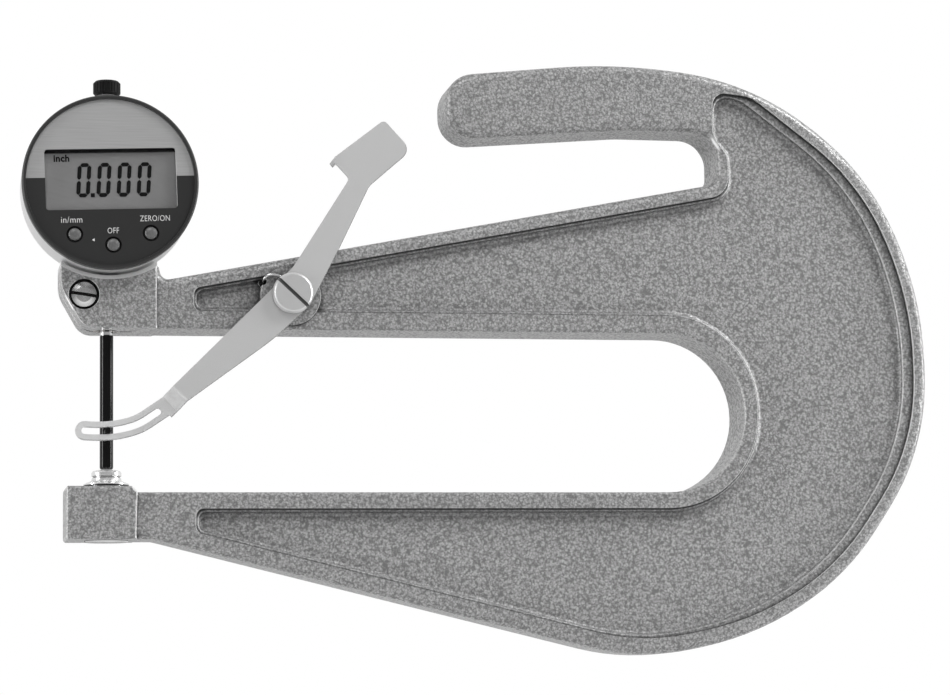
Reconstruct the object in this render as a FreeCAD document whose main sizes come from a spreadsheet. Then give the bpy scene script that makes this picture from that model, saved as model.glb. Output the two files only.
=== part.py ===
import FreeCAD, Part
import math
import os
import Sketcher

V = FreeCAD.Vector
doc = FreeCAD.newDocument("deep_throat_micrometer")

# Sizes in millimetres. Origin: spindle axis on the anvil face. Front is -Y.
sizes = {
    "throat_depth": 203.2,
    "throat_top": 43.5,
    "throat_bottom": -7.5,
    "frame_thick": 20.0,
    "web_thick": 13.0,
    "ledge_drop": 1.3,
    "ledge_wide": 0.9,
    "rim_wide": 6.0,
    "arm_rim_wide": 5.2,
    "edge_round": 2.5,
    "throat_round": 1.0,
    "head_thick": 22.0,
    "head_left": -14.7,
    "head_right": 15.0,
    "block_left": -12.9,
    "block_right": 8.6,
    "block_top": -5.6,
    "block_bottom": -22.0,
    "cradle_gap": 0.8,
    "cradle_bevel": 1.3,
    "saw_cut": 1.2,
    "stem_radius": 4.0,
    "rod_radius": 2.1,
    "rod_bottom": 0.3,
    "rod_top": 42.2,
    "running_gap": 0.03,
    "anvil_radius": 4.65,
    "anvil_flange_radius": 7.1,
    "anvil_shank_radius": 3.0,
    "case_above_throat": 17.2,
    "case_radius": 27.0,
    "bezel_over": 0.2,
    "spigot_step": 0.8,
    "front_wall": 2.0,
    "bore_wall": 4.2,
    "case_front": -18.0,
    "case_back": 5.0,
    "button_radius": 1.95,
    "button_gap": 0.3,
    "pivot_right": 56.8,
    "pivot_up": 54.2,
    "boss_radius": 9.5,
    "boss_front": -10.5,
    "lever_thick": 1.5,
    "lever_front": -14.8,
    "strip_front": -6.0,
    "strip_half_wide": 2.95,
    "pin_radius": 1.0,
    "pin_gap": 0.06,
    "pin_up": 11.8,
    "lift": 25.0,
    "lift_per_turn": 60.0,
    "clamp_right": -7.6,
    "clamp_below_case": 6.9,
    "screw_radius": 2.45,
}
sheet = doc.addObject("Spreadsheet::Sheet", "Sizes")
for row, (name, value) in enumerate(sizes.items(), start=1):
    sheet.set("A%d" % row, name)
    sheet.set("B%d" % row, str(value))
    sheet.setAlias("B%d" % row, name)
doc.recompute()


def size(name):
    return float(getattr(sheet, name))


# Heights, radii and depths that follow from the driving sizes
def case_bottom():
    return size("throat_top") + size("case_above_throat")


def face_height():
    return case_bottom() + size("case_radius")


def case_top():
    return face_height() + size("case_radius")


def bore_radius():
    return size("case_radius") - size("bore_wall")


def plate_radius():
    return size("case_radius") - size("spigot_step")


def board_seat():
    return size("case_front") + 4.4


def clamp_up():
    return case_bottom() - size("clamp_below_case")


def new_body(label):
    body = doc.addObject("PartDesign::Body", label)
    body.Label = label
    return body


def new_sketch(body, plane, name, place=(0, 0, 0), turn=None):
    sketch = body.newObject("Sketcher::SketchObject", name)
    support = [f for f in body.Origin.OriginFeatures if f.Role == plane][0]
    sketch.AttachmentSupport = [(support, "")]
    sketch.MapMode = "FlatFace"
    rotation = turn or FreeCAD.Rotation()
    sketch.AttachmentOffset = FreeCAD.Placement(V(*place), rotation)
    return sketch


# Closed outline of straight sides with a rounded corner wherever a radius is given
def outline(sketch, corners):
    count = len(corners)
    joints = []
    for i in range(count):
        before = V(corners[i - 1][0], corners[i - 1][1], 0)
        here = V(corners[i][0], corners[i][1], 0)
        after = V(corners[(i + 1) % count][0], corners[(i + 1) % count][1], 0)
        radius = corners[i][2]
        if radius == 0:
            joints.append((here, here, here))
            continue
        back = (before - here).normalize()
        ahead = (after - here).normalize()
        half = back.getAngle(ahead) / 2
        reach = radius / math.tan(half)
        middle = (back + ahead).normalize() * (radius / math.sin(half) - radius)
        joints.append((here + back * reach, here + middle, here + ahead * reach))
    for i in range(count):
        start, middle, end = joints[i]
        if start.distanceToPoint(end) > 1e-6:
            sketch.addGeometry(Part.Arc(start, middle, end))
        following = joints[(i + 1) % count][0]
        if end.distanceToPoint(following) > 1e-6:
            sketch.addGeometry(Part.LineSegment(end, following))


def polygon(sketch, points):
    outline(sketch, [(x, y, 0) for x, y in points])


def circle(sketch, x, y, radius):
    drawn = 1.0 if isinstance(radius, str) else radius
    index = sketch.addGeometry(Part.Circle(V(x, y, 0), V(0, 0, 1), drawn))
    if isinstance(radius, str):
        number = sketch.addConstraint(Sketcher.Constraint("Radius", index, 1.0))
        sketch.setExpression("Constraints[%d]" % number, radius)


def feature(body, kind, name, sketch, length):
    made = body.newObject("PartDesign::" + kind, name)
    made.Profile = sketch
    if isinstance(length, str):
        made.setExpression("Length", length)
    else:
        made.Length = length
    return made


def pad(body, name, sketch, length):
    return feature(body, "Pad", name, sketch, length)


def pocket(body, name, sketch, length):
    return feature(body, "Pocket", name, sketch, length)


def revolve(body, name, sketch, kind="Revolution"):
    turned = body.newObject("PartDesign::" + kind, name)
    turned.Profile = sketch
    turned.ReferenceAxis = (sketch, ["V_Axis"])
    turned.Angle = 360
    return turned


# Turned piece: the profile is (radius, distance along the axis)
def turned_piece(label, along, centre, profile):
    body = new_body(label)
    if along == "Y":
        sketch = new_sketch(body, "XY_Plane", label + "_profile", (centre[0], 0, centre[1]))
    else:
        sketch = new_sketch(body, "XZ_Plane", label + "_profile", (centre[0], 0, -centre[1]))
    polygon(sketch, profile)
    revolve(body, label + "_turned", sketch)
    doc.recompute()
    return body


def round_edges(body, name, base, radius, wanted):
    doc.recompute()
    edges = []
    for i, edge in enumerate(base.Shape.Edges, start=1):
        if wanted(edge):
            edges.append("Edge%d" % i)
    fillet = body.newObject("PartDesign::Fillet", name)
    fillet.Base = (base, edges)
    if isinstance(radius, str):
        fillet.setExpression("Radius", radius)
    else:
        fillet.Radius = radius
    return fillet


# Side of an outline moved inwards; the inside is on the right of the way a to b
def shifted(a, b, gap):
    way = (V(b[0], b[1], 0) - V(a[0], a[1], 0)).normalize()
    return V(a[0], a[1], 0) + V(way.y, -way.x, 0) * gap, way


def crossing(first, second):
    p, d = first
    q, e = second
    cross = d.x * e.y - d.y * e.x
    reach = ((q.x - p.x) * e.y - (q.y - p.y) * e.x) / cross
    return p.x + d.x * reach, p.y + d.y * reach


# One-piece casting: ribbed C frame with handle, clamp head and anvil block
def frame_casting():
    body = new_body("frame_casting")
    top = size("throat_top")
    bottom = size("throat_bottom")
    deep = size("throat_depth")
    half_throat = (top - bottom) / 2
    arm_start = (16.6, top + 15.25)
    slot_low = (196.2, 92.6)
    slot_high = (196.2, 109.4)
    crown = (162.3, 131.6)
    back = [(208.6, 126.5), (247.2, 97.1), (264.6, 56.1), (264.6, 6.9),
            (236.6, -34.1), (205.7, -53.2), (167.4, -60.7)]
    back_radii = [87, 82, 108, 77, 84, 98, 78]
    heel = (14.2, -22.0)
    shoulder = case_bottom() + 2.9
    corners = [(10.0, top, 0), (10.0, shoulder, 0), (15.6, shoulder, 1.2), arm_start + (2.6,)]
    corners += [slot_low + (5.0,), slot_high + (9.0,)]
    corners += [(166.0, 109.6, 60), (107.3, 105.2, 9.0), (107.1, 126.0, 9.5), crown + (180,)]
    corners += [point + (radius,) for point, radius in zip(back, back_radii)]
    corners += [heel + (6.0,), (4.0, -22.0, 0), (4.0, bottom, 0)]
    corners += [(deep, bottom, half_throat), (deep, top, half_throat)]

    # Edge of the hollow: the rim is narrow round the back and wider along the arms
    def hollow(back_rims, step):
        rim = size("rim_wide") + step
        end_rim = size("arm_rim_wide") + step
        first = shifted((27.4, 40), (27.4, 60), step)
        notch = shifted(slot_low, slot_high, 4.2 + step)
        arm = shifted(arm_start, slot_low, end_rim)
        points = [crossing(first, arm) + (2.4,), crossing(arm, notch) + (7.0,)]
        points += [(200.4 + step, 101.5, 5.0), (195.6 + step, 107.6, 7.0)]
        ends = [crown] + back + [heel]
        sides = [(V(195.6 + step, 100, 0), V(0, 1, 0))]
        sides += [shifted(a, b, wide) for a, b, wide in zip(ends, ends[1:], back_rims)]
        sides.append(shifted((27.9, -30), (27.9, -10), step))
        sides.append(shifted((4.0, bottom), (deep, bottom), rim))
        sides.append(shifted((deep, bottom), (deep, top), end_rim))
        sides.append(shifted((deep, top), (10.0, top), rim + 0.4))
        sides.append(first)
        turn = half_throat + end_rim
        radii = [4.2, 13, 76, 102, 71, 78, 92, 72, 2.4, 2.4, turn, turn, 2.4]
        for before, after, radius in zip(sides, sides[1:], radii):
            points.append(crossing(before, after) + (radius,))
        return points

    edge = hollow([5.4, 4.6, 4.3, 4.3, 4.3, 4.6, 5.0, 5.1], -size("ledge_wide"))
    web = hollow([6.4, 7.2, 7.7, 7.7, 7.4, 7.0, 6.4, 6.0], 0)

    sketch = new_sketch(body, "XZ_Plane", "rim_outline", (0, 0, -size("frame_thick") / 2))
    outline(sketch, corners)
    outline(sketch, edge)
    rim_pad = pad(body, "rim", sketch, "Sizes.frame_thick")

    def on_front(edge):
        return all(abs(abs(v.Y) - size("frame_thick") / 2) < 1e-4 for v in edge.Vertexes)

    def throat_side(edge):
        def on_throat(point):
            on_side = min(abs(point.Z - top), abs(point.Z - bottom)) < 1e-3
            return point.X > 3.9 and on_side or abs(point.X - deep) < 1e-3
        return on_front(edge) and all(on_throat(v) for v in edge.Vertexes)

    def outer_side(edge):
        middle = edge.valueAt((edge.FirstParameter + edge.LastParameter) / 2)
        return on_front(edge) and abs(middle.x - 136) < 20 and middle.z > 100

    round_edges(body, "throat_rounding", rim_pad, "Sizes.throat_round", throat_side)
    round_edges(body, "outer_rounding", body.Tip, "Sizes.edge_round", outer_side)

    # Ledge inside the rim, and the web that closes the middle of the frame
    level = size("frame_thick") / 2 - size("ledge_drop")
    sketch = new_sketch(body, "XZ_Plane", "ledge_outline", (0, 0, -level))
    outline(sketch, edge)
    outline(sketch, web)
    pad(body, "ledge", sketch, "Sizes.frame_thick - 2 * Sizes.ledge_drop")
    web_sketch = new_sketch(body, "XZ_Plane", "web_outline", (0, 0, -size("web_thick") / 2))
    outline(web_sketch, web)
    pad(body, "web", web_sketch, "Sizes.web_thick")
    doc.recompute()

    def round_web(depth):
        height = web_sketch.Shape.BoundBox.Center.y

        def wanted(side):
            middle = side.valueAt((side.FirstParameter + side.LastParameter) / 2)
            spot = Part.Vertex(V(middle.x, height, middle.z))
            flat = all(abs(abs(v.Y) - depth) < 1e-4 for v in side.Vertexes)
            return flat and web_sketch.Shape.distToShape(spot)[0] < 1e-3
        return wanted

    round_edges(body, "web_fillet", body.Tip, 1.5, round_web(size("web_thick") / 2))
    round_edges(body, "ledge_fillet", body.Tip, 0.5, round_web(level))

    # Boss for the lever pivot
    reach = -size("boss_front")
    sketch = new_sketch(body, "XZ_Plane", "boss_outline")
    circle(sketch, size("pivot_right"), size("pivot_up"), "Sizes.boss_radius")
    pad(body, "boss", sketch, reach)

    # Clamp head, hollowed along the round indicator case
    half = size("head_thick") / 2
    left = size("head_left")
    right = size("head_right")
    sketch = new_sketch(body, "XZ_Plane", "head_outline", (0, 0, -half))
    peak = case_bottom() + 6.3
    outline(sketch, [(left + 7.0, top, 6), (left, top + 12.5, 10), (left, peak, 0), (right, peak, 0),
                     (right, top, 0)])
    pad(body, "head", sketch, "Sizes.head_thick")

    def right_crease(place):
        def wanted(side):
            upright = abs(side.Vertexes[0].Z - side.Vertexes[-1].Z) > 3
            return upright and all(
                abs(abs(v.Y) - half) < 1e-4 and abs(v.X - place) < 0.5 for v in side.Vertexes)
        return wanted

    round_edges(body, "head_crease", body.Tip, 0.9, right_crease(right))

    # Anvil block
    low = size("block_bottom")
    high = size("block_top")
    sketch = new_sketch(body, "XZ_Plane", "block_outline", (0, 0, -half))
    outline(sketch, [(size("block_left"), low, 1.0), (size("block_left"), high, 0.6),
                     (size("block_right") - 1.4, high, 0.6), (size("block_right") + 0.4, -7.6, 0.4),
                     (size("block_right"), low, 0)])
    pad(body, "block", sketch, "Sizes.head_thick")
    round_edges(body, "block_crease", body.Tip, 0.9, right_crease(size("block_right")))

    sketch = new_sketch(body, "XZ_Plane", "cradle_outline", (0, 0, half + 1))
    circle(sketch, 0, face_height(), "Sizes.case_radius + Sizes.cradle_gap")
    pocket(body, "cradle", sketch, "Sizes.head_thick + 2")

    # Machined bevel along both edges of the cradle
    cradle = size("case_radius") + size("cradle_gap")
    bevel = size("cradle_bevel")
    for name, face, way in (("front_bevel", -half, 1), ("back_bevel", half, -1)):
        sketch = new_sketch(body, "XY_Plane", name + "_outline", (0, 0, face_height()))
        polygon(sketch, [(cradle - 1, face - way), (cradle + bevel + 1, face - way),
                         (cradle - 1, face + way * (bevel + 1))])
        revolve(body, name, sketch, "Groove")

    above = case_bottom() + 8
    sketch = new_sketch(body, "XY_Plane", "stem_bore_outline", (0, 0, above))
    circle(sketch, 0, 0, "Sizes.stem_radius")
    pocket(body, "stem_bore", sketch, above - top + 1)

    sketch = new_sketch(body, "XY_Plane", "saw_cut_outline", (0, 0, above))
    cut = size("saw_cut") / 2
    polygon(sketch, [(left - 1, -cut), (8.0, -cut), (8.0, cut), (left - 1, cut)])
    pocket(body, "saw_cut", sketch, above - top + 1)

    # Clamp screw: counterbore, clearance hole and thread
    place = (size("clamp_right"), clamp_up())
    for name, radius, start, reach in (
            ("clamp_counterbore", 4.75, half, 3.4), ("clamp_clearance", 2.75, half, half),
            ("clamp_thread", "Sizes.screw_radius", half, 2 * half - 3.0)):
        sketch = new_sketch(body, "XZ_Plane", name + "_outline", (0, 0, start))
        circle(sketch, place[0], place[1], radius)
        pocket(body, name, sketch, reach)

    sketch = new_sketch(body, "XZ_Plane", "pivot_thread_outline", (0, 0, -size("boss_front")))
    circle(sketch, size("pivot_right"), size("pivot_up"), "Sizes.screw_radius + 0.3")
    pocket(body, "pivot_thread", sketch, 11.5)

    sketch = new_sketch(body, "XZ_Plane", "spring_hole_outline", (0, 0, 11))
    circle(sketch, 48.2, 58.5, 1.1)
    pocket(body, "spring_hole", sketch, 6.0)

    sketch = new_sketch(body, "XY_Plane", "anvil_bore_outline", (0, 0, high))
    circle(sketch, 0, 0, "Sizes.anvil_shank_radius")
    pocket(body, "anvil_bore", sketch, high - low + 1)
    sketch = new_sketch(body, "XY_Plane", "nut_recess_outline", (0, 0, low + 1.9))
    circle(sketch, 0, 0, 7.0)
    pocket(body, "nut_recess", sketch, 3.0)
    doc.recompute()
    return body


def anvil():
    wide = size("anvil_radius")
    flange = size("anvil_flange_radius")
    shank = size("anvil_shank_radius")
    seat = size("block_top")
    profile = [(0, 0), (wide - 1.6, 0), (wide - 0.4, -0.35), (wide, -0.9), (wide, -1.9),
               (wide - 0.45, -2.1), (wide - 0.45, -2.35), (wide - 0.1, -2.6), (wide, -3.3),
               (flange, -4.4), (flange, -4.75), (flange - 0.9, -5.1), (flange - 0.9, seat),
               (shank, seat), (shank, -15), (2.5, -15), (2.5, -8), (0, -8)]
    return turned_piece("anvil", "Z", (0, 0), profile)


def anvil_screw():
    low = size("block_bottom")
    profile = [(0, -9), (2.0, -9), (2.45, -9.5), (2.45, low + 1.9), (6.8, low + 1.9),
               (6.8, low - 0.1), (6.4, low - 0.5), (0, low - 0.5)]
    body = turned_piece("anvil_screw", "Z", (0, 0), profile)
    sketch = new_sketch(body, "XY_Plane", "slot_outline", (0, 0, low + 0.4))
    polygon(sketch, [(-8, -0.8), (8, -0.8), (8, 0.8), (-8, 0.8)])
    pocket(body, "slot", sketch, 2.0)
    return body


# Slotted cheese-head screw that closes the saw cut
def clamp_screw():
    radius = size("screw_radius")
    profile = [(0, 8.0), (radius - 0.5, 8.0), (radius, 7.5), (radius, -7.6), (4.25, -7.6),
               (4.25, -9.7), (3.9, -10.2), (2.4, -10.6), (0, -10.75)]
    body = turned_piece("clamp_screw", "Y", (size("clamp_right"), clamp_up()), profile)
    turn = FreeCAD.Rotation(V(0, 0, 1), -8)
    sketch = new_sketch(body, "XZ_Plane", "slot_outline",
                        (size("clamp_right"), clamp_up(), 11), turn)
    polygon(sketch, [(-6, -0.5), (6, -0.5), (6, 0.5), (-6, 0.5)])
    pocket(body, "slot", sketch, 2.1)
    return body


# Shouldered screw on which the lever turns
def pivot_screw():
    seat = size("boss_front")
    front = size("lever_front")
    profile = [(0, 0.5), (2.3, 0.5), (2.75, 0.0), (2.75, seat), (3.5, seat), (3.5, front - 0.3),
               (6.4, front - 0.3), (6.4, front - 1.6), (6.0, front - 2.5), (5.6, front - 2.8),
               (0, front - 2.8)]
    body = turned_piece("pivot_screw", "Y", (size("pivot_right"), size("pivot_up")), profile)
    turn = FreeCAD.Rotation(V(0, 0, 1), -43)
    sketch = new_sketch(body, "XZ_Plane", "slot_outline",
                        (size("pivot_right"), size("pivot_up"), 3.5 - front), turn)
    polygon(sketch, [(-8, -0.55), (8, -0.55), (8, 0.55), (-8, 0.55)])
    pocket(body, "slot", sketch, 2.2)
    return body


# Point on the middle line of the lever slot that meets the lift pin at a lever angle
def slot_point(angle, aside=0.0):
    def middle(a):
        across = -size("pivot_right")
        up = size("pin_up") - size("pivot_up") + size("lift_per_turn") * a
        x = across * math.cos(a) - up * math.sin(a)
        z = across * math.sin(a) + up * math.cos(a)
        return V(x + size("pivot_right"), z + size("pivot_up"), 0)
    way = (middle(angle + 0.001) - middle(angle - 0.001)).normalize()
    return middle(angle) + V(-way.y, way.x, 0) * aside, way


# Band along the slot line: two curved sides, a round left end, and a right end
def slot_band(sketch, aside, reach, round_end):
    last = size("lift") / size("lift_per_turn")
    angles = [-0.15, -0.075, 0.0, 0.1, 0.2, 0.3, last]
    upper = [slot_point(a, aside)[0] for a in angles]
    lower = [slot_point(a, -aside)[0] for a in angles]
    for side in (upper, lower):
        for i in (0, 2, 4):
            sketch.addGeometry(Part.Arc(side[i], side[i + 1], side[i + 2]))
    start, way = slot_point(angles[0])
    sketch.addGeometry(Part.Arc(lower[0], start - way * aside, upper[0]))
    end, way = slot_point(last)
    sketch.addGeometry(Part.LineSegment(upper[-1], upper[-1] + way * reach))
    sketch.addGeometry(Part.LineSegment(lower[-1], lower[-1] + way * reach))
    if round_end:
        tip = end + way * (reach + aside)
        sketch.addGeometry(Part.Arc(lower[-1] + way * reach, tip, upper[-1] + way * reach))
    else:
        sketch.addGeometry(Part.LineSegment(lower[-1] + way * reach, upper[-1] + way * reach))


# Sheet lever: thumb pad, hub, arm, backward step and slotted end
def lift_lever():
    body = new_body("lift_lever")
    back = size("lever_front") + size("lever_thick")
    fold = (19.6, 25.0)
    fold_wide = 6.5
    sketch = new_sketch(body, "XZ_Plane", "arm_outline", (0, 0, -back))
    outline(sketch, [fold + (0,), (49.0, 54.2, 8), (57.3, 62.9, 10), (75.1, 91.0, 1.5),
                     (69.5, 97.0, 1.5), (86.2, 109.9, 1.5), (94.9, 100.4, 3.5), (81.3, 88.6, 6),
                     (72.2, 69.8, 30), (62.2, 50.3, 12), (50.4, 39.5, 60), (24.2, 20.4, 0)])
    circle(sketch, size("pivot_right"), size("pivot_up"), 3.55)
    pad(body, "arm", sketch, "Sizes.lever_thick")

    # Thumb flange folded backwards
    sketch = new_sketch(body, "XZ_Plane", "flange_outline", (0, 0, 2.5))
    polygon(sketch, [(85.3, 109.2), (70.4, 97.7), (71.3, 96.5), (86.2, 108.0)])
    pad(body, "flange", sketch, -size("lever_front") - 2.5)

    # Step that carries the slotted end back to the spindle
    turn = FreeCAD.Rotation(V(0, 1, 0), 135)
    sketch = new_sketch(body, "XY_Plane", "step_outline", (fold[0], 0, fold[1]), turn)
    front = size("lever_front")
    strip = size("strip_front")
    thick = size("lever_thick")
    polygon(sketch, [(-1.0, front), (0.4, front), (3.6, strip), (6.0, strip), (6.0, strip + thick),
                     (2.6, strip + thick), (-0.6, back), (-1.0, back)])
    pad(body, "step", sketch, fold_wide)

    sketch = new_sketch(body, "XZ_Plane", "slotted_end_outline", (0, 0, -strip - thick))
    slot_band(sketch, size("strip_half_wide"), 8.0, False)
    slot_band(sketch, size("pin_radius") + size("pin_gap"), 4.4, True)
    pad(body, "slotted_end", sketch, "Sizes.lever_thick")
    doc.recompute()
    return body


# Round wire bent along a smooth line of points
def wire_piece(label, points, radius):
    curve = Part.BSplineCurve()
    curve.interpolate(points)
    path = Part.Wire([curve.toShape()])
    section = Part.Wire([Part.makeCircle(radius, points[0], curve.tangent(0)[0])])
    piece = doc.addObject("Part::Feature", label)
    piece.Label = label
    piece.Shape = path.makePipeShell([section], True, True)
    return piece


# Return spring: one leg in the casting, a coil round the pivot, one leg on the lever
def lever_spring():
    centre = V(size("pivot_right"), 0, size("pivot_up"))
    wire = 0.4
    coil = 4.6
    points = [V(48.2, -7.0, 58.5), V(48.2, -9.5, 58.6), V(48.4, -11.4, 59.4), V(49.6, -11.9, 60.3),
              V(52.0, -11.9, 60.3), V(54.4, -11.6, 59.6)]
    turns = 1.5
    for i in range(25):
        angle = math.radians(90) - 2 * math.pi * turns * i / 24
        depth = -11.35 - 1.1 * i / 24
        points.append(centre + V(coil * math.cos(angle), depth, coil * math.sin(angle)))
    points += [V(52.4, -12.5, 47.9), V(48.6, -12.55, 45.2)]
    return wire_piece("lever_spring", points, wire)


# The guide bar stands left of the spindle; its ends sit in the case wall
GUIDE_BAR = -7.6


def guide_bar_span():
    reach = math.sqrt(bore_radius() ** 2 - GUIDE_BAR ** 2) + 0.6
    return face_height() - reach, face_height() + reach


# Places of the four cover screws: name, distance right and up from the middle of the case
def cover_screw_places():
    reach = (bore_radius() + 1.1) * math.sqrt(0.5)
    return (("first", reach, reach), ("second", -reach, reach), ("third", -reach, -reach),
            ("fourth", reach, -reach))


# Round metal case; everything of the indicator is built round its middle
def indicator_case():
    outer = size("case_radius")
    spigot = plate_radius()
    front = size("case_front")
    back = size("case_back")
    mouth = outer - size("front_wall")
    bore = bore_radius()
    profile = [(mouth, front), (spigot, front), (spigot, front + 1.4), (outer, front + 1.4),
               (outer, back - 4.5), (outer - 1.8, back), (bore, back), (bore, board_seat()),
               (mouth, board_seat())]
    body = turned_piece("indicator_case", "Y", (0, face_height()), profile)
    sketch = new_sketch(body, "XY_Plane", "spindle_ways_outline", (0, 0, case_top() + 5))
    circle(sketch, 0, 0, 3.4)
    pocket(body, "spindle_ways", sketch, 2 * outer + 10)
    sketch = new_sketch(body, "XY_Plane", "stem_seat_outline", (0, 0, case_bottom() + 6))
    circle(sketch, 0, 0, "Sizes.stem_radius")
    pocket(body, "stem_seat", sketch, 20)
    low, high = guide_bar_span()
    sketch = new_sketch(body, "XY_Plane", "guide_bar_seats_outline", (0, 0, high))
    circle(sketch, GUIDE_BAR, 0, 1.0)
    pocket(body, "guide_bar_seats", sketch, high - low)
    for name, right, up in cover_screw_places():
        sketch = new_sketch(body, "XZ_Plane", name + "_cover_hole_outline", (0, 0, -back))
        circle(sketch, right, face_height() + up, 0.75)
        hole = pocket(body, name + "_cover_hole", sketch, 6.0)
        hole.Reversed = True
    return body


# Middle of the battery, right of the spindle
def battery_right():
    return bore_radius() - 9.6


def back_cover():
    back = size("case_back")
    outer = size("case_radius") - 1.7
    body = turned_piece("back_cover", "Y", (0, face_height()),
                        [(0, back), (outer, back), (outer, back + 1.6), (outer - 0.4, back + 2.0),
                         (0, back + 2.0)])
    sketch = new_sketch(body, "XZ_Plane", "lid_opening_outline", (0, 0, -back + 1))
    circle(sketch, battery_right(), face_height(), 9.2)
    for name, right, up in cover_screw_places():
        circle(sketch, right, face_height() + up, 0.9)
    pocket(body, "lid_opening", sketch, 5.0)
    return body


def battery_lid():
    back = size("case_back")
    right = battery_right()
    body = turned_piece("battery_lid", "Y", (right, face_height()),
                        [(0, back), (9.0, back), (9.0, back + 1.7), (8.7, back + 2.0), (0, back + 2.0)])
    sketch = new_sketch(body, "XZ_Plane", "coin_slot_outline", (0, 0, -back - 2.0))
    outline(sketch, [(right + x, face_height() + z, 0.85)
                     for x, z in ((-6, -0.9), (6, -0.9), (6, 0.9), (-6, 0.9))])
    slot = pocket(body, "coin_slot", sketch, 0.9)
    slot.Reversed = True
    return body


def coin_cell():
    back = size("case_back")
    return turned_piece("coin_cell", "Y", (battery_right(), face_height()),
                        [(0, back - 3.2), (6.8, back - 3.2), (7.2, back - 2.6), (7.9, back - 2.4),
                         (7.9, back), (0, back)])


# Bent strip that presses on the cell and stands on the board
def battery_contact():
    back = size("case_back")
    front = board_seat()
    leg = battery_right() + 2.8
    body = new_body("battery_contact")
    sketch = new_sketch(body, "XY_Plane", "contact_outline", (0, 0, face_height() - 3))
    polygon(sketch, [(leg, front), (leg + 0.5, front), (leg + 0.5, back - 3.2), (leg - 6, back - 3.2),
                     (leg - 6, back - 3.7), (leg, back - 3.7)])
    pad(body, "contact", sketch, 6.0)
    return body


# The four cover screws are one group
def cover_screws():
    back = size("case_back")
    body = new_body("cover_screws")
    name, right, up = cover_screw_places()[0]
    sketch = new_sketch(body, "XY_Plane", "screw_profile", (right, 0, face_height() + up))
    polygon(sketch, [(0, back - 4.5), (0.75, back - 4.0), (0.75, back + 2.0), (1.3, back + 2.0),
                     (1.3, back + 2.5), (0.9, back + 2.8), (0, back + 2.8)])
    first = revolve(body, "screw", sketch)
    doc.recompute()
    pattern = body.newObject("PartDesign::PolarPattern", "screw_circle")
    pattern.Originals = [first]
    axis = new_sketch(body, "XY_Plane", "circle_axis", (0, 0, face_height()))
    pattern.Axis = (axis, ["V_Axis"])
    pattern.Angle = 360
    pattern.Occurrences = 4
    body.Tip = pattern
    return body


def bezel_ring():
    outer = size("case_radius") + size("bezel_over")
    front = size("case_front")
    spigot = plate_radius()
    return turned_piece("bezel_ring", "Y", (0, face_height()),
                        [(spigot - 0.2, front - 1.8), (outer - 0.5, front - 1.8), (outer, front - 1.3),
                         (outer, front + 1.4), (spigot, front + 1.4), (spigot, front - 1.0),
                         (spigot - 0.3, front - 1.0)])


# Places of the window and the buttons in parts of the face radius; the face is turned a little
FACE_TURN = 2.0
BUTTONS = {"units_button": (-0.439, -0.615), "off_button": (0.008, -0.748), "zero_button": (0.454, -0.618)}


def on_face(x, z):
    angle = math.radians(FACE_TURN)
    right = plate_radius() * x
    up = plate_radius() * z
    return (right * math.cos(angle) - up * math.sin(angle),
            face_height() + right * math.sin(angle) + up * math.cos(angle))


# The window's outline, grown on all sides by a margin
def window_outline(margin, radius):
    grow = margin / plate_radius()
    left = -0.764 - grow
    right = 0.778 + grow
    low = -0.325 - grow
    high = 0.397 + grow
    return [on_face(x, z) + (radius,) for x, z in ((left, low), (left, high), (right, high), (right, low))]


def face_plate():
    front = size("case_front")
    body = turned_piece("face_plate", "Y", (0, face_height()),
                        [(0, front - 1.0), (plate_radius(), front - 1.0),
                         (plate_radius(), front), (0, front)])
    sketch = new_sketch(body, "XZ_Plane", "window_outline", (0, 0, -front + 2))
    outline(sketch, window_outline(0, 1.0))
    pocket(body, "window", sketch, 4.0)
    for name, place in BUTTONS.items():
        sketch = new_sketch(body, "XZ_Plane", name + "_hole_outline", (0, 0, -front + 2))
        circle(sketch, *on_face(*place), 2.55)
        pocket(body, name + "_hole", sketch, 4.0)
    return body


def window_pane():
    front = size("case_front")
    body = new_body("window_pane")
    sketch = new_sketch(body, "XZ_Plane", "pane_outline", (0, 0, -front - 0.8))
    outline(sketch, window_outline(1.2, 1.2))
    pad(body, "pane", sketch, 0.8)
    return body


def display_panel():
    front = size("case_front")
    body = new_body("display_panel")
    board_front = board_seat() - 1.2
    sketch = new_sketch(body, "XZ_Plane", "panel_outline", (0, 0, -board_front))
    outline(sketch, window_outline(0.9, 0.5))
    pad(body, "panel", sketch, board_front - front - 0.8)
    return body


# Rubber mat behind the face with a raised collar round every button
def button_mat():
    front = size("case_front")
    body = new_body("button_mat")
    sketch = new_sketch(body, "XZ_Plane", "mat_outline", (0, 0, -front - 0.6))
    outline(sketch, [on_face(x, z) + (r,) for x, z, r in (
        (-0.596, -0.458, 2), (0.591, -0.458, 2), (0.591, -0.748, 3), (0.13, -0.886, 3),
        (-0.138, -0.886, 3), (-0.596, -0.748, 3))])
    for place in BUTTONS.values():
        circle(sketch, *on_face(*place), "Sizes.button_radius + Sizes.button_gap")
    pad(body, "mat", sketch, 0.6)
    sketch = new_sketch(body, "XZ_Plane", "collar_outline", (0, 0, -front))
    for place in BUTTONS.values():
        circle(sketch, *on_face(*place), 2.55)
        circle(sketch, *on_face(*place), "Sizes.button_radius + Sizes.button_gap")
    pad(body, "collars", sketch, 1.0)
    return body


def button(label):
    radius = size("button_radius")
    front = size("case_front")
    profile = [(0, front - 1.5), (0.9, front - 1.42), (1.6, front - 1.15), (radius, front - 0.8),
               (radius, front + 1.0), (2.9, front + 1.0), (2.9, front + 1.6), (1.2, front + 1.6),
               (1.2, front + 2.3), (0, front + 2.3)]
    return turned_piece(label, "Y", on_face(*BUTTONS[label]), profile)


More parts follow.
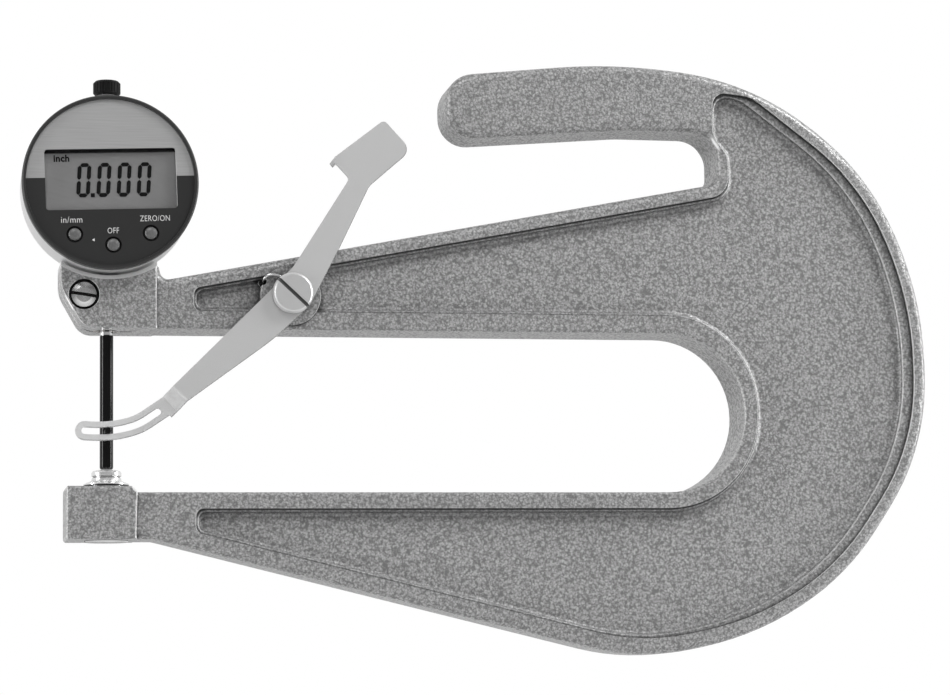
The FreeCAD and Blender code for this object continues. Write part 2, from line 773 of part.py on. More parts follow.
def circuit_board():
    body = new_body("circuit_board")
    sketch = new_sketch(body, "XZ_Plane", "board_outline", (0, 0, -board_seat()))
    circle(sketch, 0, face_height(), "Sizes.case_radius - Sizes.front_wall - 0.1")
    pad(body, "board", sketch, 1.2)
    return body


# Fixed measuring scale on two feet behind the board
def encoder_scale():
    body = new_body("encoder_scale")
    sketch = new_sketch(body, "YZ_Plane", "scale_outline", (0, 0, -4))
    seat = board_seat()
    low = face_height() - bore_radius() + 1.8
    high = face_height() + bore_radius() - 2.2
    polygon(sketch, [(seat, low + 2), (-6.0, low + 2), (-6.0, low), (-5.2, low), (-5.2, high),
                     (-6.0, high), (-6.0, high - 1.5), (seat, high - 1.5), (seat, high - 4.5),
                     (-6.0, high - 4.5), (-6.0, low + 5), (seat, low + 5)])
    pad(body, "scale", sketch, 8.0)
    return body


# Flanges of the stem and the upper bush lie against the round inside of the case
FLANGE = 4.8


def flange_reach():
    return math.sqrt(bore_radius() ** 2 - FLANGE ** 2)


def stem_low():
    return size("throat_top") + 1.5


def stem_seat():
    return face_height() - flange_reach() + 0.02


def arm_low():
    return stem_seat() + 2.3


def upper_bush_low():
    return face_height() + flange_reach() - 1.8


def cap_low():
    return case_top() + 4.1


# Clamped in the head; carries the lower bush
def stem():
    outer = size("stem_radius")
    low = stem_low()
    seat = stem_seat()
    return turned_piece("stem", "Z", (0, 0),
                        [(2.9, low), (outer - 0.4, low), (outer, low + 0.4), (outer, seat),
                         (FLANGE, seat), (FLANGE, seat + 1.5), (2.9, seat + 1.5)])


def lower_bush():
    inner = size("rod_radius") + size("running_gap")
    low = stem_low()
    return turned_piece("lower_bush", "Z", (0, 0),
                        [(inner, low), (2.9, low), (2.9, low + 12), (inner, low + 12)])


def upper_bush():
    inner = size("rod_radius") + size("running_gap")
    low = upper_bush_low()
    top = case_top()
    return turned_piece("upper_bush", "Z", (0, 0),
                        [(inner, low), (FLANGE, low), (FLANGE, low + 1.6), (3.4, low + 1.6),
                         (3.4, top + 0.05), (4.2, top + 0.05), (4.2, top + 2.9), (3.4, top + 3.7),
                         (inner, top + 3.7)])


# Sliding spindle, bored below for the extension rod
def plunger():
    radius = size("rod_radius")
    low = size("rod_top")
    high = cap_low()
    return turned_piece("plunger", "Z", (0, 0),
                        [(1.2, low), (radius, low), (radius, high), (1.2, high), (1.2, high + 2.7),
                         (0, high + 2.7), (0, low + 6.3), (1.2, low + 6.3)])


# Black extension rod screwed into the plunger
def extension_rod():
    radius = size("rod_radius")
    low = size("rod_bottom")
    high = size("rod_top")
    body = turned_piece("extension_rod", "Z", (0, 0),
                        [(0, low), (radius - 0.5, low), (radius - 0.15, low + 0.12),
                         (radius, low + 0.5), (radius, high - 0.2), (radius - 0.2, high),
                         (1.15, high), (1.15, high + 5.5), (0, high + 5.5)])
    sketch = new_sketch(body, "XZ_Plane", "pin_hole_outline", (0, 0, 3))
    circle(sketch, 0, size("pin_up"), "Sizes.pin_radius")
    pocket(body, "pin_hole", sketch, 4.0)
    return body


def lift_pin():
    tip = size("strip_front") - 1.0
    radius = size("pin_radius")
    return turned_piece("lift_pin", "Y", (0, size("pin_up")),
                        [(0, tip), (radius - 0.25, tip), (radius, tip + 0.25), (radius, -1.0),
                         (0, -1.0)])


# Knurled cap pulled by hand
def lifting_cap():
    low = cap_low()
    body = turned_piece("lifting_cap", "Z", (0, 0),
                        [(1.2, low), (3.9, low), (4.3, low + 0.4), (4.3, low + 3.6), (3.6, low + 4.3),
                         (0, low + 4.3), (0, low + 2.7), (1.2, low + 2.7)])
    sketch = new_sketch(body, "XY_Plane", "knurl_outline", (0, 0, low + 3.5))
    for i in range(24):
        angle = 2 * math.pi * i / 24
        circle(sketch, 4.45 * math.cos(angle), 4.45 * math.sin(angle), 0.32)
    pocket(body, "knurl", sketch, 3.0)
    return body


# Arm clamped on the plunger; it slides on the guide bar and carries the reading plate
def guide_arm():
    body = new_body("guide_arm")
    sketch = new_sketch(body, "XY_Plane", "arm_outline", (0, 0, arm_low()))
    outline(sketch, [(-10.0, -2.2, 1.5), (-4.0, -2.2, 0), (-4.0, -3.9, 0), (4.0, -3.9, 0),
                     (4.0, 2.9, 1.5), (-4.0, 2.9, 1.5), (-4.6, 2.2, 0), (-10.0, 2.2, 1.5)])
    circle(sketch, 0, 0, "Sizes.rod_radius")
    circle(sketch, GUIDE_BAR, 0, "1 + Sizes.running_gap")
    pad(body, "arm", sketch, 4.0)
    return body


def reading_plate():
    body = new_body("reading_plate")
    sketch = new_sketch(body, "XZ_Plane", "plate_outline", (0, 0, 3.9))
    low = arm_low() + 0.1
    high = arm_low() + 9.5
    outline(sketch, [(-3.6, low, 0.4), (-3.6, high, 0.4), (3.6, high, 0.4), (3.6, low, 0.4)])
    pad(body, "plate", sketch, 0.8)
    return body


def guide_bar():
    low, high = guide_bar_span()
    return turned_piece("guide_bar", "Z", (GUIDE_BAR, 0), [(0, low), (1.0, low), (1.0, high), (0, high)])


# Measuring-force spring round the plunger, between the arm and the upper bush
def plunger_spring():
    low = arm_low() + 4.4
    high = upper_bush_low() - 0.4
    turns = 8
    count = turns * 12
    points = []
    for i in range(count + 1):
        angle = 2 * math.pi * turns * i / count
        points.append(V(3.2 * math.cos(angle), 3.2 * math.sin(angle), low + (high - low) * i / count))
    return wire_piece("plunger_spring", points, 0.3)


pieces = [frame_casting(), anvil(), anvil_screw(), clamp_screw(), pivot_screw(), lift_lever(),
          lever_spring(), indicator_case(), back_cover(), battery_lid(), coin_cell(),
          battery_contact(), cover_screws(), bezel_ring(), face_plate(), window_pane(),
          display_panel(), button_mat(), circuit_board(), encoder_scale(), stem(), lower_bush(),
          upper_bush(), plunger(), extension_rod(), lift_pin(), lifting_cap(), guide_arm(),
          reading_plate(), guide_bar(), plunger_spring()]
pieces += [button(label) for label in BUTTONS]
doc.recompute()

for item in doc.Objects:
    if "Invalid" in item.State or "Error" in item.State:
        raise RuntimeError("object in error: " + item.Label)
os.makedirs("parts", exist_ok=True)
for piece in pieces:
    shape = piece.Shape
    if shape.isNull() or not shape.isValid() or not shape.Solids:
        raise RuntimeError("bad shape: " + piece.Label)
    shape.exportStep("parts/%s.step" % piece.Label)
    box = shape.BoundBox
    print("%-18s vol %10.1f  X %.1f..%.1f Y %.1f..%.1f Z %.1f..%.1f solids %d" % (
        piece.Label, shape.Volume, box.XMin, box.XMax, box.YMin, box.YMax, box.ZMin, box.ZMax,
        len(shape.Solids)))
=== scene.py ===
import math

import bmesh
import bpy
from mathutils import Matrix, Vector


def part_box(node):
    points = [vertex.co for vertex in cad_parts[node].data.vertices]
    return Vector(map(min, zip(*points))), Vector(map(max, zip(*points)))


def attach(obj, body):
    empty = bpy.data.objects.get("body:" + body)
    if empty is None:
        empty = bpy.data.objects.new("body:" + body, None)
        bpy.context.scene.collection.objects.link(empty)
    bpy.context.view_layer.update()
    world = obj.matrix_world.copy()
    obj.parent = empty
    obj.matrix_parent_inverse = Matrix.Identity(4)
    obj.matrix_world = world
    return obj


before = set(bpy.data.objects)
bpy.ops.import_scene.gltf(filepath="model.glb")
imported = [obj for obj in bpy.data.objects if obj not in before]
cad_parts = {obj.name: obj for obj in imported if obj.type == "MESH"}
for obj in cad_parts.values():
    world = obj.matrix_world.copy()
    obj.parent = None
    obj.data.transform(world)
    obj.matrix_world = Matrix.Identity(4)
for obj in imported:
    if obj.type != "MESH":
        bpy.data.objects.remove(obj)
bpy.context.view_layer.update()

# Cast frame
# One iron casting under grey hammer-finish enamel: light blobs a millimetre wide with darker seams
# and a low relief. Painted shade darkens the corners of the recess, most where they face down, and
# painted highlights run along upright outer edges. The cradle of the indicator is machined bare.
face_low, face_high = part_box("face_plate")
case_low, case_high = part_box("indicator_case")
face_middle = (face_low + face_high) / 2
cradle_margin = 0.00215
cradle_radius = (case_high.x - case_low.x) / 2 + cradle_margin
drift_scale = 420.0
drift_share = 0.0012
blob_scale = 1050.0
blob_softness = 0.45
blob_height = -0.6
grain_scale = 1900.0
seam_height = 0.02
seam_tone = 0.14
top_height = 0.54
top_tone = 0.445
corner_reach = 0.0032
corner_tilt = (0.0, 0.0, 0.25)
corner_band = (0.47, 0.92)
corner_tone = 0.03
under_band = (-0.2, -0.8)
under_share = 1.5
highlight_reach = 0.0012
highlight_band = (0.62, 0.92)
highlight_rounding = 0.0006
upright_band = (0.36, 0.62)
highlight_tone = 0.95
bare_tone = 0.6
metallic_band = (0.2, 0.3)
gloss_heights = (0.0, 0.4)
gloss_roughness = (0.5, 0.34)
relief_strength = 0.6
relief_depth = 0.0002


def new_material(name):
    material = bpy.data.materials.new(name)
    material.use_nodes = True
    tree = material.node_tree
    return material, tree, tree.nodes["Principled BSDF"]


# A value that is another node's output is linked, and any other is set on the socket itself.
def fill(tree, node, values):
    for socket, value in values.items():
        if isinstance(value, bpy.types.NodeSocket):
            tree.links.new(value, node.inputs[socket])
        else:
            node.inputs[socket].default_value = value


def add(tree, kind, values):
    node = tree.nodes.new("ShaderNode" + kind)
    fill(tree, node, values)
    return node


def maths(tree, operation, *terms):
    node = add(tree, "Math", dict(enumerate(terms)))
    node.operation = operation
    return node.outputs["Value"]


def grey(level):
    return (level, level, level, 1)


def ramp(tree, value, low, high, low_colour, high_colour):
    node = add(tree, "ValToRGB", {"Fac": value})
    first, last = node.color_ramp.elements
    first.position = low
    first.color = low_colour
    last.position = high
    last.color = high_colour
    return node.outputs["Color"]


paint, tree, shader = new_material("hammer_enamel")
spot = add(tree, "TexCoord", {}).outputs["Object"]
drift_values = {"Vector": spot, "Scale": drift_scale, "Detail": 3.0}
drift = add(tree, "TexNoise", drift_values).outputs["Color"]
warp = tree.nodes.new("ShaderNodeMix")
warp.data_type = "VECTOR"
fill(tree, warp, {"Factor": drift_share, "A": spot, "B": drift})
blobs = tree.nodes.new("ShaderNodeTexVoronoi")
blobs.feature = "SMOOTH_F1"
blob_values = {"Scale": blob_scale, "Smoothness": blob_softness}
fill(tree, blobs, {"Vector": warp.outputs["Result"], **blob_values})
grain_values = {"Vector": spot, "Scale": grain_scale, "Detail": 2.0}
grain = add(tree, "TexNoise", grain_values).outputs["Fac"]
height = maths(tree, "MULTIPLY_ADD", blobs.outputs["Distance"], blob_height, grain)
enamel = ramp(tree, height, seam_height, top_height, grey(seam_tone), grey(top_tone))


def vector_maths(tree, operation, *terms):
    node = add(tree, "VectorMath", dict(enumerate(terms)))
    node.operation = operation
    return node


# The share of the directions around a place that meet nothing within reach, outside or inside.
def openness(tree, reach, samples, inside=False):
    node = add(tree, "AmbientOcclusion", {"Distance": reach})
    node.samples = samples
    node.inside = inside
    return node


# A value from one end of the band to the other gives the first to the second result.
def spread(tree, value, band, results):
    ends = {"From Min": band[0], "From Max": band[1], "To Min": results[0], "To Max": results[1]}
    return add(tree, "MapRange", {"Value": value, **ends}).outputs["Result"]


def blend(tree, factor, first, second, way="MIX"):
    node = tree.nodes.new("ShaderNodeMix")
    node.data_type = "RGBA"
    node.blend_type = way
    fill(tree, node, {"Factor": factor, "A": first, "B": second})
    return node.outputs["Result"]


# Painted shade: corners of the recess, and most of all walls facing down, darken where shadow falls.
normal = add(tree, "NewGeometry", {}).outputs["Normal"]
tilted = vector_maths(tree, "ADD", normal, corner_tilt).outputs["Vector"]
upward = vector_maths(tree, "NORMALIZE", tilted).outputs["Vector"]
corners = openness(tree, corner_reach, samples=8)
fill(tree, corners, {"Normal": upward})
open_share = corners.outputs["AO"]
facing = add(tree, "SeparateXYZ", {"Vector": normal}).outputs["Z"]
under = spread(tree, facing, under_band, (0.0, under_share))
sunk = maths(tree, "MULTIPLY", under, maths(tree, "SUBTRACT", 1.0, open_share))
lit = maths(tree, "SUBTRACT", open_share, sunk)
shade = spread(tree, lit, corner_band, (corner_tone, 1.0))
shaded_enamel = blend(tree, 1.0, enamel, shade, "MULTIPLY")


def rounded_normal(tree, radius):
    node = add(tree, "Bevel", {"Radius": radius})
    node.samples = 4
    return node.outputs["Normal"]


# Painted highlight: outer edges facing left or right are lightened as if the side lamps caught them.
depth_share = openness(tree, highlight_reach, samples=6, inside=True).outputs["AO"]
outer_edge = spread(tree, depth_share, highlight_band, (1.0, 0.0))
rounding = rounded_normal(tree, highlight_rounding)
across = add(tree, "SeparateXYZ", {"Vector": rounding}).outputs["X"]
upright = spread(tree, maths(tree, "ABSOLUTE", across), upright_band, (0.0, 1.0))
painted_highlights = blend(tree, maths(tree, "MULTIPLY", outer_edge, upright), shaded_enamel, grey(highlight_tone))


def relief(tree, height, strength, distance):
    values = {"Height": height, "Strength": strength, "Distance": distance}
    return add(tree, "Bump", values).outputs["Normal"]


def dress(names, material):
    for name in names:
        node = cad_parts[name]
        node.data.materials.clear()
        node.data.materials.append(material)


to_axis = {"Location": (0.0, 0.0, -face_middle.z), "Scale": (1.0, 0.0, 1.0)}
from_axis = add(tree, "Mapping", {"Vector": spot, **to_axis}).outputs["Vector"]
radius = vector_maths(tree, "LENGTH", from_axis).outputs["Value"]
bare = maths(tree, "LESS_THAN", radius, cradle_radius)
fill(tree, shader, {
    "Base Color": blend(tree, bare, painted_highlights, grey(bare_tone)),
    "Metallic": spread(tree, bare, (0.0, 1.0), metallic_band),
    "Roughness": spread(tree, height, gloss_heights, gloss_roughness),
    "Normal": relief(tree, height, relief_strength, relief_depth),
    "Coat Weight": 0.3,
    "Coat Roughness": 0.22,
})
dress(["frame_casting"], paint)

# Bare spindle
# Hardened steel, ground and polished almost to a mirror. The stem of the indicator and the guide
# bar inside have the same finish.
grain_depth = 0.0001


def grained(name, colour, metallic, roughness, scale, bump, specular=0.5):
    material, tree, shader = new_material(name)
    spot = add(tree, "TexCoord", {}).outputs["Object"]
    grain = add(tree, "TexNoise", {"Vector": spot, "Scale": scale, "Detail": 3.0}).outputs["Fac"]
    darker = (*(0.92 * part for part in colour[:3]), 1)
    lighter = (*(1.08 * part for part in colour[:3]), 1)
    fill(tree, shader, {
        "Base Color": ramp(tree, grain, 0.3, 0.7, darker, lighter),
        "Metallic": metallic,
        "Roughness": spread(tree, grain, (0.0, 1.0), (0.8 * roughness, 1.2 * roughness)),
        "Specular IOR Level": specular,
        "Normal": relief(tree, grain, bump, grain_depth),
    })
    return material


polish = grained("polished_steel", grey(0.86), metallic=1.0, roughness=0.14,
                 scale=3000.0, bump=0.02)
dress(["plunger", "stem", "guide_bar"], polish)

# Anvil
# Ground and lapped carbon steel, so bright that it shows almost white, with painted shade darkening
# its turned groove, and the fine rings of the grinding wheel.
groove_reach = 0.0012
groove_band = (0.35, 0.85)
groove_tone = 0.12
steel_tone = 0.86
ring_scale = (300.0, 300.0, 16000.0)
lapped, tree, shader = new_material("lapped_steel")
spot = add(tree, "TexCoord", {}).outputs["Object"]
rings = add(tree, "Mapping", {"Vector": spot, "Scale": ring_scale}).outputs["Vector"]
turning = add(tree, "TexNoise", {"Vector": rings, "Scale": 1.0}).outputs["Fac"]
# Painted shade: the turned groove darkens where the occlusion finds it closed in.
open_share = openness(tree, groove_reach, samples=6).outputs["AO"]
fill(tree, shader, {
    "Base Color": spread(tree, open_share, groove_band, (groove_tone, steel_tone)),
    "Metallic": 0.85,
    "Roughness": spread(tree, turning, (0.0, 1.0), (0.16, 0.34)),
})
dress(["anvil"], lapped)

# Screws
# Slotted steel screws, turned and nickel plated, with a fine grain from the lathe and painted shade
# darkening the slots.
slot_reach = 0.002
slot_band = (0.55, 0.9)
lathe_scale = 2500.0


def turned_screw(name, metallic, roughness, slot_tone, face_tone):
    material, tree, shader = new_material(name)
    spot = add(tree, "TexCoord", {}).outputs["Object"]
    grain = add(tree, "TexNoise", {"Vector": spot, "Scale": lathe_scale}).outputs["Fac"]
    # Painted shade: the slots darken where the occlusion finds them closed in.
    open_share = openness(tree, slot_reach, samples=6).outputs["AO"]
    fill(tree, shader, {
        "Base Color": spread(tree, open_share, slot_band, (slot_tone, face_tone)),
        "Metallic": metallic,
        "Roughness": roughness,
        "Normal": relief(tree, grain, 0.06, grain_depth),
    })
    return material


plating = turned_screw("nickel_screws", metallic=1.0, roughness=0.27, slot_tone=0.02, face_tone=0.66)
dress(["anvil_screw", "clamp_screw", "cover_screws"], plating)

# Pivot screw
# The shoulder screw of the lever: the same steel, faced flat and left dull, with a bright rim and
# painted shade in its slot.
faced = turned_screw("faced_screw", metallic=0.6, roughness=0.34, slot_tone=0.16, face_tone=0.58)
dress(["pivot_screw"], faced)

# Lifting lever
# Sheet steel 1.5 mm thick, cut, bent and tumbled to an even satin grey. Its slotted end beyond the
# bend is given a lighter tone than the arm. Along the edges that face down and right a painted
# highlight runs with a painted shadow line outside it.
arm_tone = 0.58
tip_tone = 0.72
# The bend lies where a place measured along bend_across reaches bend_reach.
bend_across = (0.68, 0.0, 0.733)
bend_reach = 0.0318
bend_blur = 0.0004
edge_line_side = (0.6, 0.0, -0.8)
edge_line_reach = 0.0012
edge_line_rounding = 0.0006
edge_line_band = (0.6, 0.64)
edge_line_tones = (0.04, 0.95)
near_band = (0.86, 0.92)
side_band = (0.12, 0.3)
satin = grained("satin_sheet", grey(1.0), metallic=0.75, roughness=0.46,
                scale=5000.0, bump=0.03)
tree = satin.node_tree
spot = tree.nodes["Texture Coordinate"].outputs["Object"]
# The slotted end beyond the bend gets a lighter tone than the arm.
along = vector_maths(tree, "DOT_PRODUCT", spot, bend_across).outputs["Value"]
bend_band = (bend_reach - bend_blur, bend_reach)
tone = spread(tree, along, bend_band, (tip_tone, arm_tone))
sheet = blend(tree, 1.0, tree.nodes["Color Ramp"].outputs["Color"], tone, "MULTIPLY")
# Painted highlight and painted shadow: a light line just inside the down-right edges, dark at the
# very edge.
depth_share = openness(tree, edge_line_reach, samples=12, inside=True).outputs["AO"]
painted_edge_lines = spread(tree, depth_share, edge_line_band, edge_line_tones)
near_edge = spread(tree, depth_share, near_band, (1.0, 0.0))
rounding = rounded_normal(tree, edge_line_rounding)
to_side = vector_maths(tree, "DOT_PRODUCT", rounding, edge_line_side).outputs["Value"]
on_side = spread(tree, to_side, side_band, (0.0, 1.0))
edge_line_share = maths(tree, "MULTIPLY", near_edge, on_side)
fill(tree, tree.nodes["Principled BSDF"], {"Base Color": blend(tree, edge_line_share, sheet, painted_edge_lines)})
dress(["lift_lever"], satin)

# Springs
# Drawn spring wire, bright, with faint marks of the drawing die.
wire = grained("spring_wire", grey(0.72), metallic=1.0, roughness=0.25,
               scale=5000.0, bump=0.05)
dress(["lever_spring", "plunger_spring", "battery_contact"], wire)

# Black spindle rod and its lift pin
# Steel rod with a smooth gloss black finish.
black = grained("black_rod", grey(0.003), metallic=0.0, roughness=0.14,
                scale=3500.0, bump=0.03, specular=0.25)
dress(["extension_rod", "lift_pin"], black)

# Lifting cap
# Black moulded cap with a fine knurl, duller than the rod.
cap = grained("cap_plastic", grey(0.004), metallic=0.0, roughness=0.5,
              scale=4000.0, bump=0.1, specular=0.12)
dress(["lifting_cap"], cap)

# Indicator case
# Turned light alloy, bead blasted and clear anodised. The back cover, the top bush and the inner
# arm are the same metal.
blast_scale = 4000.0
alloy, tree, shader = new_material("case_alloy")
spot = add(tree, "TexCoord", {}).outputs["Object"]
blast = add(tree, "TexNoise", {"Vector": spot, "Scale": blast_scale}).outputs["Fac"]
fill(tree, shader, {
    "Base Color": grey(0.74),
    "Metallic": 0.85,
    "Roughness": 0.38,
    "Normal": relief(tree, blast, 0.05, grain_depth),
})
dress(["indicator_case", "back_cover", "upper_bush", "guide_arm"], alloy)

# Bezel and battery lid
# Black moulded ring snapped on the case in front of the face; the lid behind is the same plastic.
bezel = grained("bezel_plastic", grey(0.022), metallic=0.0, roughness=0.36,
                scale=2500.0, bump=0.06, specular=0.35)
dress(["bezel_ring", "battery_lid"], bezel)

# Face
# Printed plate: silver with a fine level brush above, charcoal below. The two tones meet on a
# straight line across the window. The window's cut edge has a painted shadow, black, on its upper
# wall and a painted highlight on the others; the walls of the key holes are painted black as shade.
face_turn = math.radians(2.0)
split_height = 0.0016
window_foot = face_middle.z - 0.0095
print_depth = 0.00005
charcoal_tone = 0.016
silver_tones = (0.265, 0.31)
brush_scale = (60.0, 1.0, 5000.0)
cut_band = (-0.6, -0.4)
cut_shadow_highlight_tones = (0.01, 0.95)
face, tree, shader = new_material("face_print")


def height_on_face(tree, spot):
    centred = add(tree, "Mapping", {"Vector": spot, "Location": (0.0, 0.0, -face_middle.z)})
    face_up = (-math.sin(face_turn), 0.0, math.cos(face_turn))
    return vector_maths(tree, "DOT_PRODUCT", centred.outputs["Vector"], face_up).outputs["Value"]


spot = add(tree, "TexCoord", {}).outputs["Object"]
above = maths(tree, "GREATER_THAN", height_on_face(tree, spot), split_height)
level_lines = {"Rotation": (0.0, face_turn, 0.0), "Scale": brush_scale}
stretched = add(tree, "Mapping", {"Vector": spot, **level_lines}).outputs["Vector"]
brush = add(tree, "TexNoise", {"Vector": stretched, "Scale": 1.0, "Detail": 2.0}).outputs["Fac"]
silver = ramp(tree, brush, 0.3, 0.7, grey(silver_tones[0]), grey(silver_tones[1]))
printed = blend(tree, above, grey(charcoal_tone), silver)
depth = add(tree, "SeparateXYZ", {"Vector": spot})
behind_print = maths(tree, "GREATER_THAN", depth.outputs["Y"], face_low.y + print_depth)
in_window = maths(tree, "GREATER_THAN", depth.outputs["Z"], window_foot)
normal = add(tree, "NewGeometry", {}).outputs["Normal"]
facing = add(tree, "SeparateXYZ", {"Vector": normal}).outputs["Z"]
# Painted shadow and highlight: upper window wall black, other window walls near white, key hole
# walls black.
edge_light = spread(tree, facing, cut_band, cut_shadow_highlight_tones)
painted_cut_light = maths(tree, "MULTIPLY", edge_light, in_window)
fill(tree, shader, {
    "Base Color": blend(tree, behind_print, printed, painted_cut_light),
    "Roughness": 0.42,
    "Specular IOR Level": 0.35,
})
dress(["face_plate"], face)

# Display panel
# Reflective liquid crystal, mid grey with a faint cloud, and a painted shadow along its upper edge.
panel_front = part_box("display_panel")[0].y
shadow_band = (0.0092, 0.0096)
shadow_tone = 0.004
cloud_scale = 90.0
cloud_tones = (0.18, 0.22)
crystal, tree, shader = new_material("display_grey")
spot = add(tree, "TexCoord", {}).outputs["Object"]
# Painted shadow: the panel's top band, under the upper edge of the window, is black.
top_shadow = spread(tree, height_on_face(tree, spot), shadow_band, (0.0, 1.0))
cloud = add(tree, "TexNoise", {"Vector": spot, "Scale": cloud_scale}).outputs["Fac"]
glow = spread(tree, cloud, (0.0, 1.0), cloud_tones)
fill(tree, shader, {
    "Base Color": blend(tree, top_shadow, glow, grey(shadow_tone)),
    "Roughness": 0.6,
    "Specular IOR Level": 0.2,
})
dress(["display_panel"], crystal)

# Window
# Clear flat pane behind the opening of the face.
pane, tree, shader = new_material("window_clear")
fill(tree, shader, {"Base Color": grey(0.01), "Roughness": 0.05, "Alpha": 0.06})
dress(["window_pane"], pane)

# Buttons and their collars
# Grey moulded keys with a domed top, each in a black rubber collar of the mat behind the face.
key = grained("grey_keys", grey(0.1), metallic=0.0, roughness=0.3,
              scale=3000.0, bump=0.05)
dress(["units_button", "off_button", "zero_button"], key)
rubber = grained("black_rubber", grey(0.002), metallic=0.0, roughness=0.7,
                 scale=3000.0, bump=0.1, specular=0.05)
dress(["button_mat"], rubber)

# Inner pieces
# Circuit board, scale and reading plate in dark laminate, bronze bush, and the steel coin cell.
laminate = grained("laminate", (0.04, 0.13, 0.07), metallic=0.0, roughness=0.5,
                   scale=1500.0, bump=0.08)
dress(["circuit_board", "encoder_scale", "reading_plate"], laminate)
bronze = grained("bronze", (0.55, 0.36, 0.16), metallic=1.0, roughness=0.35,
                 scale=2500.0, bump=0.08)
dress(["lower_bush"], bronze)
cell = grained("cell_steel", grey(0.7), metallic=1.0, roughness=0.3,
               scale=2500.0, bump=0.05)
dress(["coin_cell"], cell)

# Digits
# Four zeros of seven-segment bars and a decimal point, dark on the grey display. They lie just in
# front of the panel, behind the window, and lean 5 degrees like the real ones.
digit_wide = 0.0042
digit_high = 0.0107
digit_lefts = (-0.01065, -0.00445, 0.00175, 0.00795)
digit_foot = -0.0044
bar = 0.00125
gap = 0.0001
lean = math.tan(math.radians(5))
point_left = -0.0061
ink_thick = 0.00005
digit_gap = 0.00003
digit_back = panel_front - digit_gap


def on_face(across, up, depth):
    x = across * math.cos(face_turn) - up * math.sin(face_turn)
    z = across * math.sin(face_turn) + up * math.cos(face_turn)
    return Vector((x, depth, face_middle.z + z))


def print_shape(mesh, outline, depth):
    flat = mesh.faces.new([mesh.verts.new(on_face(x, z, depth)) for x, z in outline])
    raised = bmesh.ops.extrude_face_region(mesh, geom=[flat])
    tops = [item for item in raised["geom"] if isinstance(item, bmesh.types.BMVert)]
    bmesh.ops.translate(mesh, verts=tops, vec=(0.0, -ink_thick, 0.0))


def piece_of(mesh, name, material):
    data = bpy.data.meshes.new(name)
    mesh.to_mesh(data)
    mesh.free()
    data.materials.append(material)
    piece = bpy.data.objects.new(name, data)
    bpy.context.scene.collection.objects.link(piece)
    return piece


def zero_bars():
    half = bar / 2
    mid = digit_high / 2
    bars = []
    for z in (half, digit_high - half):
        bars.append([(half + gap, z), (bar, z - half), (digit_wide - bar, z - half),
                     (digit_wide - half - gap, z), (digit_wide - bar, z + half), (bar, z + half)])
    for x in (half, digit_wide - half):
        for low, high in ((half + gap, mid - gap), (mid + gap, digit_high - half - gap)):
            bars.append([(x, low), (x + half, low + half), (x + half, high - half), (x, high),
                         (x - half, high - half), (x - half, low + half)])
    return bars


mesh = bmesh.new()
for left in digit_lefts:
    for outline in zero_bars():
        leaning = [(left + x + lean * z, digit_foot + z) for x, z in outline]
        print_shape(mesh, leaning, digit_back)
point_right = point_left + bar
point_top = digit_foot + bar
point = [(point_left, digit_foot), (point_right, digit_foot), (point_right, point_top),
         (point_left, point_top)]
print_shape(mesh, point, digit_back)
bmesh.ops.recalc_face_normals(mesh, faces=mesh.faces)
ink, tree, shader = new_material("digit_ink")
fill(tree, shader, {"Base Color": grey(0.007), "Roughness": 0.6, "Specular IOR Level": 0.05})
digits = piece_of(mesh, "display_digits", ink)
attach(digits, "frame")

# Printed words
# White functional words beside the keys and a small dark unit word in the display: plain letters,
# a hair thick, on the face and on the panel.
white, tree, shader = new_material("white_print")
fill(tree, shader, {"Base Color": grey(0.6), "Roughness": 0.6})
face_front = face_low.y
word_gap = 0.00005
word_half_thick = 0.00003
letter_spacing = 1.06
weld_reach = 0.0000005
# Each row: name, text, place across and up, height, width share, stroke weight, surface and ink.
words = [
    ("units_word", "in/mm", -0.0123, -0.0117, 0.0029, 0.88, -0.00002, face_front, white),
    ("off_word", "OFF", 0.0003, -0.0153, 0.0026, 0.78, -0.00002, face_front, white),
    ("zero_word", "ZERO/ON", 0.0133, -0.0117, 0.0026, 0.78, -0.00002, face_front, white),
    ("inch_word", "inch", -0.01475, 0.0078, 0.0030, 0.95, 0.0001, panel_front, ink),
]
upright_on_face = Matrix.Rotation(-face_turn, 4, "Y") @ Matrix.Rotation(math.radians(90), 4, "X")
for name, text, x, z, tall, width_share, weight, front, finish in words:
    curve = bpy.data.curves.new(name, "FONT")
    curve.body = text
    curve.size = tall
    curve.offset = weight
    curve.align_x = "CENTER"
    curve.align_y = "CENTER"
    curve.space_character = letter_spacing
    curve.extrude = word_half_thick
    curve.resolution_u = 3
    letters = bpy.data.objects.new(name + "_curve", curve)
    bpy.context.scene.collection.objects.link(letters)
    outlines = letters.evaluated_get(bpy.context.evaluated_depsgraph_get())
    mesh = bmesh.new()
    mesh.from_mesh(bpy.data.meshes.new_from_object(outlines))
    bpy.data.objects.remove(letters)
    bmesh.ops.remove_doubles(mesh, verts=mesh.verts, dist=weld_reach)
    narrowed = Matrix.Scale(width_share, 4, Vector((1, 0, 0)))
    place = Matrix.Translation(on_face(x, z, front - word_gap))
    bmesh.ops.transform(mesh, matrix=place @ upright_on_face @ narrowed, verts=mesh.verts)
    bmesh.ops.recalc_face_normals(mesh, faces=mesh.faces)
    word = piece_of(mesh, name, finish)
    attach(word, "frame")

# Small arrow print
# White triangle left of the lowest key, pointing left, printed on the face like the words.
arrow_tip = (-0.0063, -0.0180)
arrow_base = [(-0.0055, -0.0185), (-0.0055, -0.0175)]
arrow_gap = 0.00002
mesh = bmesh.new()
print_shape(mesh, [arrow_tip, *arrow_base], face_front - arrow_gap)
bmesh.ops.recalc_face_normals(mesh, faces=mesh.faces)
arrow = piece_of(mesh, "arrow_print", white)
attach(arrow, "frame")

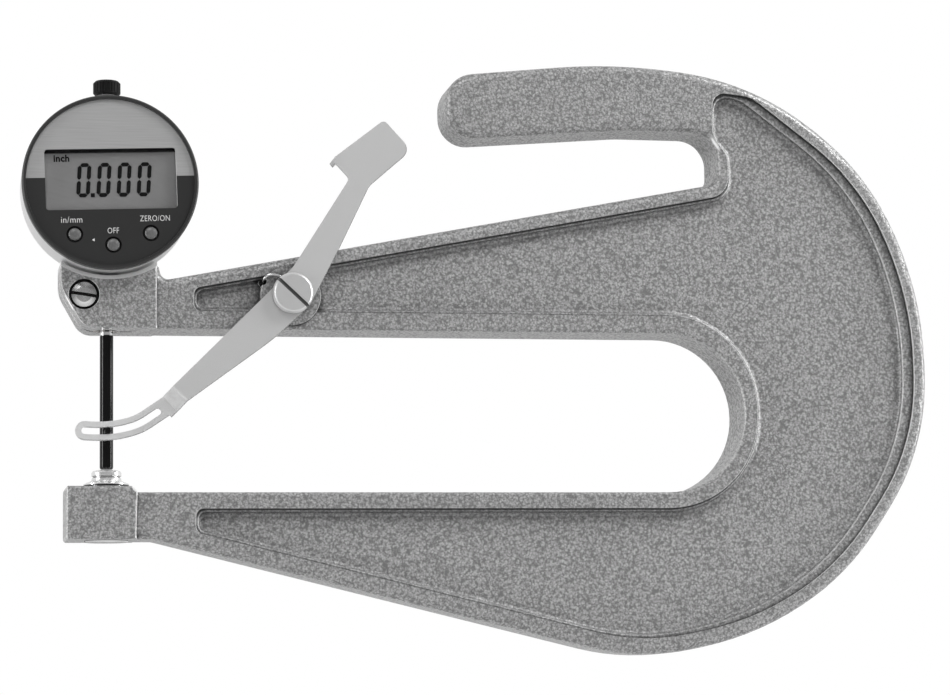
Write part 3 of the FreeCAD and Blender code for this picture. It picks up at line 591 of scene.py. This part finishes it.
# Stage
# Pale floor well below the part, which the low camera of the main picture doesn't see.
floor_half = 3.0
floor_middle = (0.13, 0.0, -0.16)
mesh = bmesh.new()
bmesh.ops.create_grid(mesh, x_segments=1, y_segments=1, size=floor_half)
bmesh.ops.translate(mesh, verts=mesh.verts, vec=floor_middle)
pale, tree, shader = new_material("floor_pale")
fill(tree, shader, {"Base Color": grey(0.76), "Roughness": 0.9})
floor = piece_of(mesh, "floor", pale)

# Light
# White behind the part, as the camera and the clear window see it, and a dimmer room in front of
# it, so that metal faces stay grey. Soft boxes light the front, and an upright strip on each side
# draws bright lines along the rounded edges.
room_band = (-0.6, 0.5)
room_levels = (0.28, 0.8)
world = bpy.data.worlds.new("studio")
bpy.context.scene.world = world
world.use_nodes = True
tree = world.node_tree
sky = add(tree, "TexCoord", {}).outputs["Generated"]
backward = add(tree, "SeparateXYZ", {"Vector": sky}).outputs["Y"]
level = spread(tree, backward, room_band, room_levels)
level.node.interpolation_type = "SMOOTHSTEP"
room = tree.nodes["Background"]
fill(tree, room, {"Color": grey(1), "Strength": level})
backdrop = add(tree, "Background", {"Color": grey(1), "Strength": 1.0})
seen = add(tree, "LightPath", {}).outputs["Is Camera Ray"]
shown = add(tree, "MixShader", {
    "Fac": seen,
    1: room.outputs["Background"],
    2: backdrop.outputs["Background"],
})
fill(tree, tree.nodes["World Output"], {"Surface": shown.outputs["Shader"]})
# Each row: name, place, width, height and watts.
boxes = [
    ("key_box", (0.85, -0.45, 0.8), 0.35, 0.35, 9.0),
    ("left_strip", (-1.1, -0.25, 0.15), 0.15, 1.2, 9.0),
    ("right_strip", (1.35, -0.22, 0.1), 0.15, 1.2, 11.0),
    ("high_box", (-0.2, -1.0, 1.0), 0.8, 0.5, 5.0),
]
aim = Vector((0.12, 0.0, 0.03))
for name, place, wide, tall, watts in boxes:
    light = bpy.data.lights.new(name, "AREA")
    light.shape = "RECTANGLE"
    light.size = wide
    light.size_y = tall
    light.energy = watts
    lamp = bpy.data.objects.new(name, light)
    bpy.context.scene.collection.objects.link(lamp)
    lamp.location = place
    lamp.rotation_euler = (aim - Vector(place)).to_track_quat("-Z", "Y").to_euler()

# Camera
# Nearly one metre away, left of the spindle and a little below the anvil, as the photograph was
# taken. Its right and up directions come from the solved view.
stand_point = (-0.06005, -0.95327, -0.07726)
right = Vector((0.98335, -0.18122, -0.01336))
up = Vector((-0.00863, -0.12001, 0.99273))
back = right.cross(up)
lens = bpy.data.cameras.new("camera")
lens.sensor_width = 36.0
lens.lens = 115.73
lens.clip_start = 0.01
camera = bpy.data.objects.new("camera", lens)
bpy.context.scene.collection.objects.link(camera)
turn = Matrix((right, up, back)).transposed().to_4x4()
camera.matrix_world = Matrix.Translation(stand_point) @ turn
bpy.context.scene.camera = camera
bpy.context.scene.view_settings.view_transform = "Standard"
